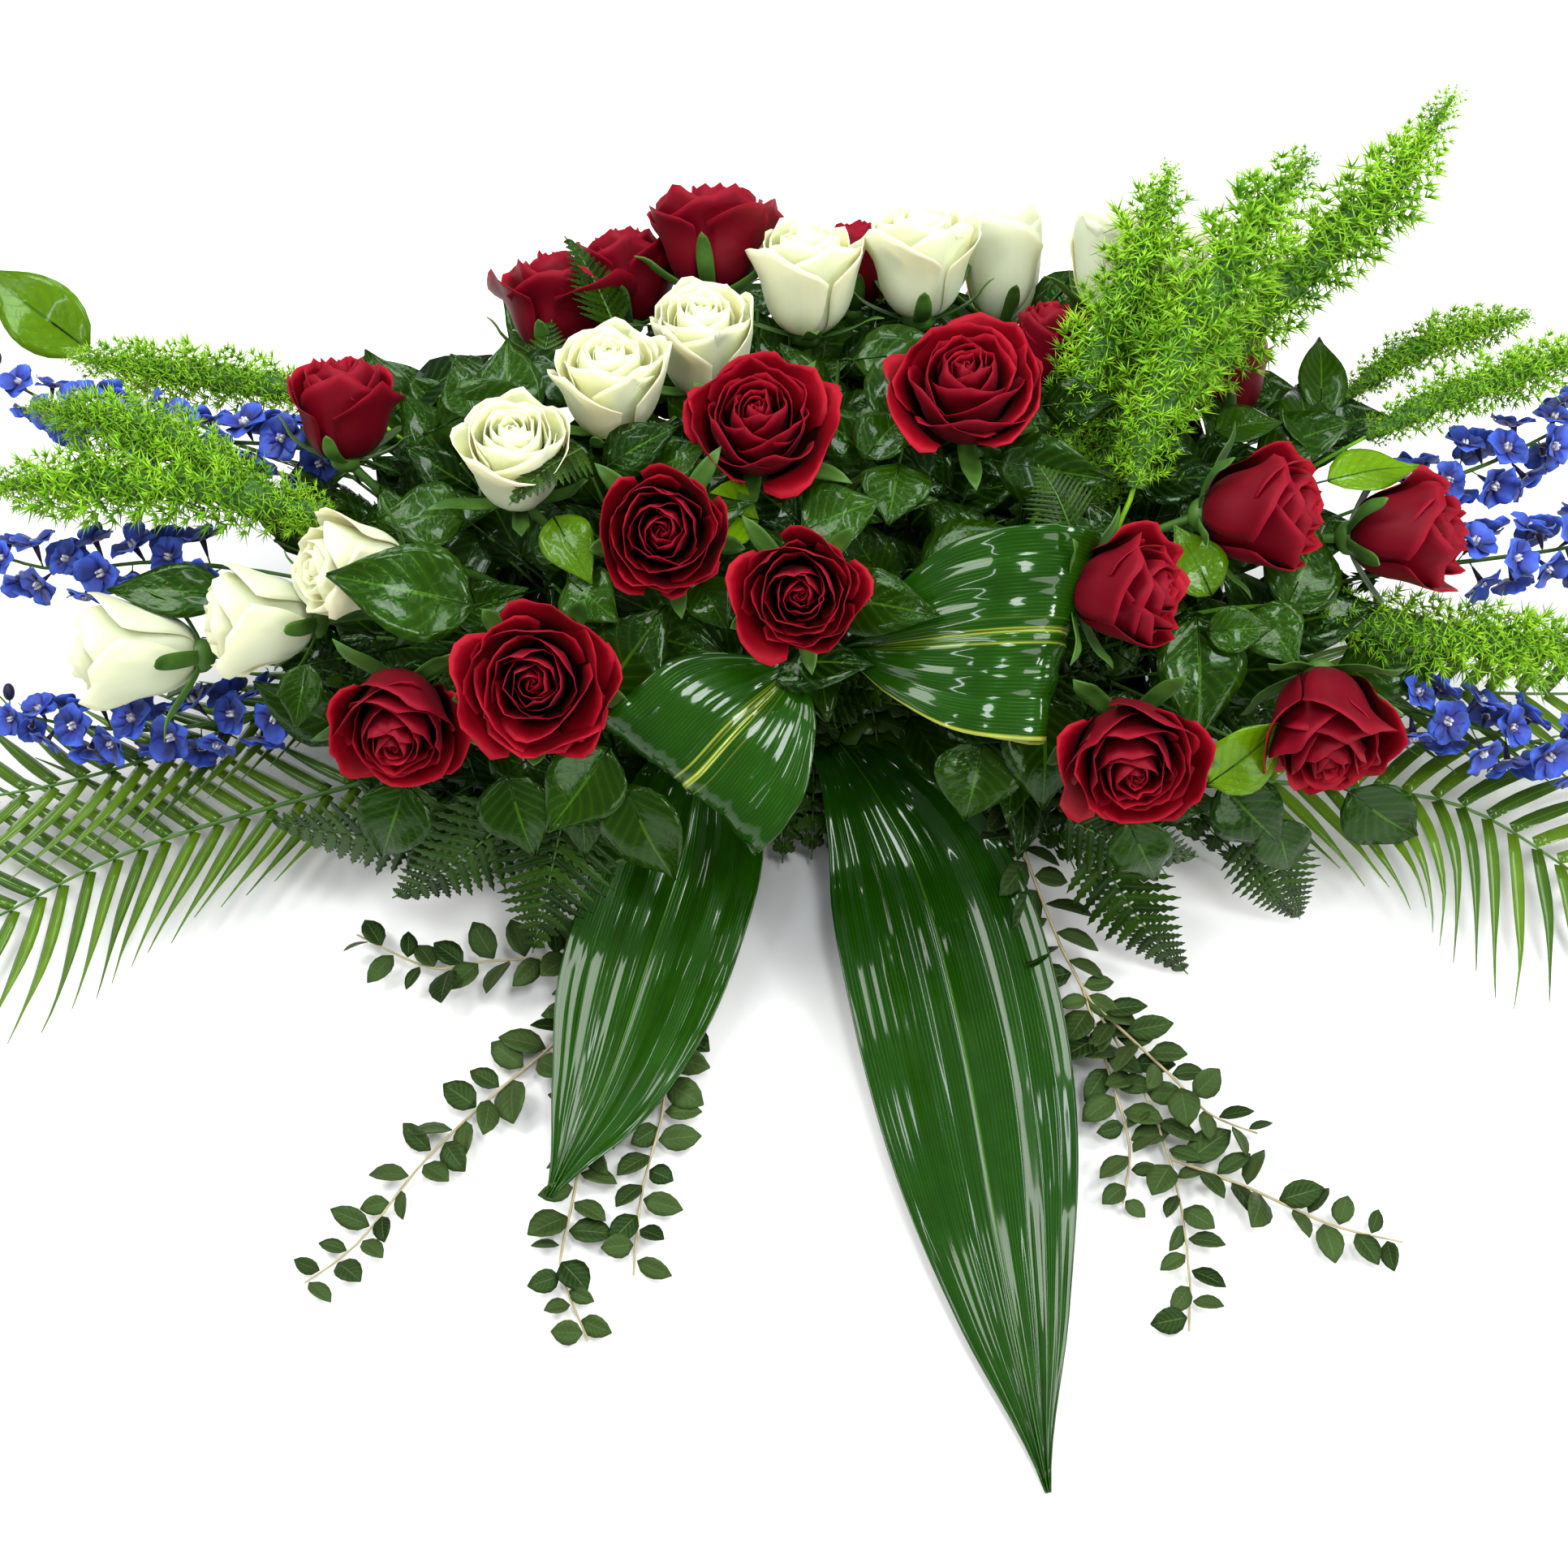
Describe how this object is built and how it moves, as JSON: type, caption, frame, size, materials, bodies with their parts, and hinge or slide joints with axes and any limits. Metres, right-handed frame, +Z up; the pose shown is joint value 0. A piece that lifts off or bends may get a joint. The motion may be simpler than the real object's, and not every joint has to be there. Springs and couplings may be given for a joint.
{
  "type": "flower arrangement",
  "caption": "Long, low casket-spray flower arrangement of roses, delphinium, foxtail fern and mixed foliage in a foam block held by a shallow tray, made to be seen from the front.",
  "frame": {"origin": "centre of the flat underside of the tray, on the surface that the arrangement stands on", "axes": "+X along the arrangement's length to the viewer's right, +Y to its back, +Z up"},
  "size_m": [1.116, 0.7207, 0.3376],
  "materials": {
    "red": "velvety petals, deep crimson with darker hearts",
    "white": "satin petals, ivory with pale yellow-green hearts",
    "foxtail": "soft matte needles, bright yellow-green",
    "delphinium": "satin florets, cobalt blue with violet buds",
    "palm": "smooth leaflets, mid green, slightly glossy",
    "aspidistra": "waxed, glossy, dark green with parallel veins",
    "salal": "leathery, glossy, mid green with net veins",
    "fern": "leathery, dark green, slightly glossy",
    "eucalyptus": "matte, grey-green with a waxy bloom",
    "foam": "matte, fine-pored floral foam, dark green",
    "tray": "moulded plastic, dark green, slightly glossy"
  },
  "bodies": {
    "root": {"holder_tray": "tray", "floral_foam": "foam", "rose_red_01": "red", "rose_red_02": "red", "rose_red_03": "red", "rose_red_04": "red", "rose_red_05": "red", "rose_red_06": "red", "rose_red_07": "red", "rose_red_08": "red", "rose_red_09": "red", "rose_red_10": "red", "rose_red_11": "red", "rose_red_12": "red", "rose_red_13": "red", "rose_red_14": "red", "rose_red_15": "red", "rose_red_16": "red", "rose_red_17": "red", "rose_red_18": "red", "rose_white_01": "white", "rose_white_02": "white", "rose_white_03": "white", "rose_white_04": "white", "rose_white_05": "white", "rose_white_06": "white", "rose_white_07": "white", "rose_white_08": "white", "rose_white_09": "white", "rose_white_10": "white", "rose_white_11": "white", "aspidistra_loop_right": "aspidistra", "aspidistra_loop_left": "aspidistra", "aspidistra_tail_left": "aspidistra", "aspidistra_tail_right": "aspidistra", "foxtail_fern_1": "foxtail", "foxtail_fern_2": "foxtail", "foxtail_fern_3": "foxtail", "foxtail_fern_4": "foxtail", "foxtail_fern_5": "foxtail", "foxtail_fern_6": "foxtail", "foxtail_fern_7": "foxtail", "foxtail_fern_8": "foxtail", "delphinium_1": "delphinium", "delphinium_2": "delphinium", "delphinium_3": "delphinium", "delphinium_4": "delphinium", "delphinium_5": "delphinium", "delphinium_6": "delphinium", "palm_frond_1": "palm", "palm_frond_2": "palm", "palm_frond_3": "palm", "palm_frond_4": "palm", "salal_left": "salal", "salal_right": "salal", "salal_back": "salal", "leatherleaf_left": "fern", "leatherleaf_right": "fern", "eucalyptus_left": "eucalyptus", "eucalyptus_right": "eucalyptus"}
  },
  "joints": []
}
